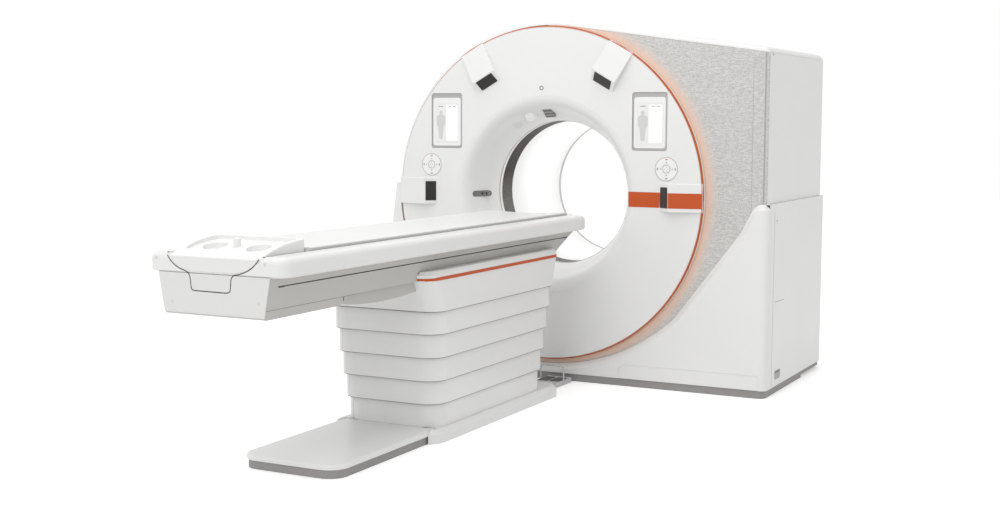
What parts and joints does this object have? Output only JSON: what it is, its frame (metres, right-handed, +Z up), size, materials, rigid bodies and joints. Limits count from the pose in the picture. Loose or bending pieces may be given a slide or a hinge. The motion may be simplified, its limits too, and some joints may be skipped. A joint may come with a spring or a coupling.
{
  "type": "ct scanner",
  "caption": "Computed-tomography scanner: round-tunnel gantry with an asymmetric sloping housing and a lifting patient table with a sliding cradle.",
  "frame": {"origin": "on the floor under the centre of the scan plane, on the underside of the gantry's base plate", "axes": "+Y along the tunnel from the table into the gantry, +Z up, +X to the right as seen from the table's foot end"},
  "size_m": [2.404, 4.075, 2.018],
  "materials": {
    "cover_white": "satin",
    "accent_orange": "satin",
    "woven_composite": "woven",
    "light_strip": "translucent",
    "dark_window": "gloss",
    "scan_window_film": "satin",
    "screen": "gloss",
    "key_grey": "satin",
    "base_grey": "satin",
    "table_grey": "satin",
    "table_white": "satin",
    "cradle_shell": "satin",
    "steel": "ground",
    "casting": "cast",
    "unit_grey": "satin",
    "copper_coil": "enamelled",
    "pedal_rubber": "matt"
  },
  "bodies": {
    "gantry": {"base_frame": "base_grey", "stator_frame": "casting", "bearing_outer_race": "steel", "drive_stator": "copper_coil", "brush_block": "unit_grey", "front_cover": "cover_white", "ring_light": "light_strip", "woven_panel": "woven_composite", "front_fender_right": "cover_white", "front_fender_left": "cover_white", "kick_panel": "cover_white", "side_upper_cover": "cover_white", "side_lower_cover": "cover_white", "left_side_cover": "cover_white", "top_cover": "cover_white", "top_cover_right": "cover_white", "rear_cover": "cover_white", "scan_window": "scan_window_film", "tunnel_liner": "cover_white", "display_left": "screen", "display_right": "screen", "pod_right_lower": "cover_white", "pod_right_upper": "cover_white", "pod_left_upper": "cover_white", "pod_left_lower": "cover_white", "accent_band": "accent_orange", "status_display": "dark_window", "camera_dome": "dark_window", "bore_display": "screen", "table_base": "base_grey", "foot_plate": "cover_white", "pedestal_skirt": "cover_white", "lift_column_base": "steel", "pedestal_cover_5": "table_white", "foot_switch": "key_grey"},
    "rotor": {"bearing_inner_race": "steel", "rotor_drum": "casting", "xray_tube": "unit_grey", "tube_cooler": "unit_grey", "hv_generator": "unit_grey", "detector_arc": "unit_grey", "slip_ring": "copper_coil"},
    "ring_key_left": {"control_ring_left": "key_grey"},
    "ring_key_right": {"control_ring_right": "key_grey"},
    "button_left": {"control_button_left": "key_grey"},
    "button_right": {"control_button_right": "key_grey"},
    "left_pedal": {"pedal_left": "pedal_rubber"},
    "right_pedal": {"pedal_right": "pedal_rubber"},
    "table": {"lift_column_top": "steel", "head_cover": "table_white", "accent_strip": "accent_orange", "table_frame": "table_grey", "table_top": "table_white"},
    "column_middle": {"lift_column_middle": "steel"},
    "cover_1": {"pedestal_cover_1": "table_white"},
    "cover_2": {"pedestal_cover_2": "table_white"},
    "cover_3": {"pedestal_cover_3": "table_white"},
    "cover_4": {"pedestal_cover_4": "table_white"},
    "sliding_cradle": {"cradle": "cradle_shell", "head_tray": "table_white"}
  },
  "joints": [
    {"name": "rotor_spin", "type": "hinge", "parent": "gantry", "child": "rotor", "pos_m": [0, 0.2, 1.05], "axis": [0, 1, 0], "continuous": true},
    {"name": "table_lift", "type": "slide", "parent": "gantry", "child": "table", "axis": [0, 0, 1], "range_m": [-0.45, 0]},
    {"name": "column_lift", "type": "slide", "parent": "gantry", "child": "column_middle", "axis": [0, 0, 1], "range_m": [-0.225, 0]},
    {"name": "cover_1_lift", "type": "slide", "parent": "gantry", "child": "cover_1", "axis": [0, 0, 1], "range_m": [-0.36, 0]},
    {"name": "cover_2_lift", "type": "slide", "parent": "gantry", "child": "cover_2", "axis": [0, 0, 1], "range_m": [-0.27, 0]},
    {"name": "cover_3_lift", "type": "slide", "parent": "gantry", "child": "cover_3", "axis": [0, 0, 1], "range_m": [-0.18, 0]},
    {"name": "cover_4_lift", "type": "slide", "parent": "gantry", "child": "cover_4", "axis": [0, 0, 1], "range_m": [-0.09, 0]},
    {"name": "cradle_slide", "type": "slide", "parent": "table", "child": "sliding_cradle", "axis": [0, 1, 0], "range_m": [0, 1.6]},
    {"name": "ring_key_left_press", "type": "slide", "parent": "gantry", "child": "ring_key_left", "axis": [0, 1, 0], "range_m": [0, 0.0012], "stiffness_N_per_m": 1500, "springref_m": -0.0005},
    {"name": "ring_key_right_press", "type": "slide", "parent": "gantry", "child": "ring_key_right", "axis": [0, 1, 0], "range_m": [0, 0.0012], "stiffness_N_per_m": 1500, "springref_m": -0.0005},
    {"name": "button_left_press", "type": "slide", "parent": "gantry", "child": "button_left", "axis": [0, 1, 0], "range_m": [0, 0.0012], "stiffness_N_per_m": 1500, "springref_m": -0.0005},
    {"name": "button_right_press", "type": "slide", "parent": "gantry", "child": "button_right", "axis": [0, 1, 0], "range_m": [0, 0.0012], "stiffness_N_per_m": 1500, "springref_m": -0.0005},
    {"name": "left_pedal_press", "type": "hinge", "parent": "gantry", "child": "left_pedal", "pos_m": [0.08, -0.417, 0.0215], "axis": [1, 0, 0], "range_deg": [0, 3], "stiffness_Nm_per_rad": 40, "springref_deg": -1.72},
    {"name": "right_pedal_press", "type": "hinge", "parent": "gantry", "child": "right_pedal", "pos_m": [0.15, -0.417, 0.0215], "axis": [1, 0, 0], "range_deg": [0, 3], "stiffness_Nm_per_rad": 40, "springref_deg": -1.72}
  ],
  "couplings": [
    {"joint": "column_lift", "follows": "table_lift", "ratio": 0.5},
    {"joint": "cover_1_lift", "follows": "table_lift", "ratio": 0.8},
    {"joint": "cover_2_lift", "follows": "table_lift", "ratio": 0.6},
    {"joint": "cover_3_lift", "follows": "table_lift", "ratio": 0.4},
    {"joint": "cover_4_lift", "follows": "table_lift", "ratio": 0.2}
  ]
}
